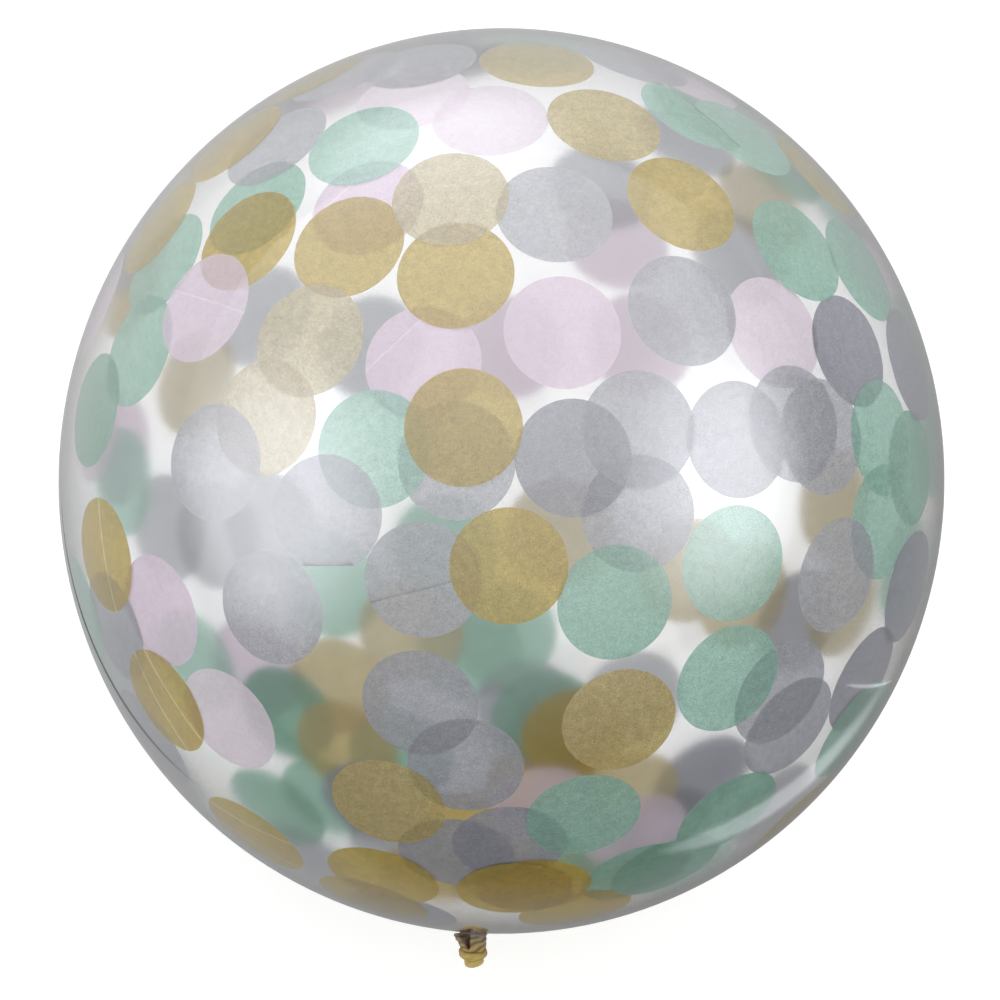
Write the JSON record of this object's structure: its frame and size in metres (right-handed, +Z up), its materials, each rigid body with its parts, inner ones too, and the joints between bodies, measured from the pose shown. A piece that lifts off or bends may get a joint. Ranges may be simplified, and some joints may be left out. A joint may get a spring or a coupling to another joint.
{
  "type": "confetti balloon",
  "caption": "Large round clear latex party balloon, blown up, tied in its own neck, with big round paper confetti clinging inside.",
  "frame": {"origin": "middle of the small flat spot that the ball rests on, on the floor under the ball's middle", "axes": "+Z up from the floor, +Y along the balloon's axis from the tied neck to the crown, +X across"},
  "size_m": [0.6, 0.6377, 0.5973],
  "materials": {
    "clear_latex": "thin stretched clear latex, glossy",
    "natural_latex": "unstretched tan latex, satin",
    "confetti_gold": "matt tissue paper, dull gold",
    "confetti_mint": "matt tissue paper, mint green",
    "confetti_grey": "matt tissue paper, light grey",
    "confetti_lilac": "matt tissue paper, pale lilac"
  },
  "bodies": {
    "root": {"balloon": "clear_latex"}
  },
  "joints": []
}
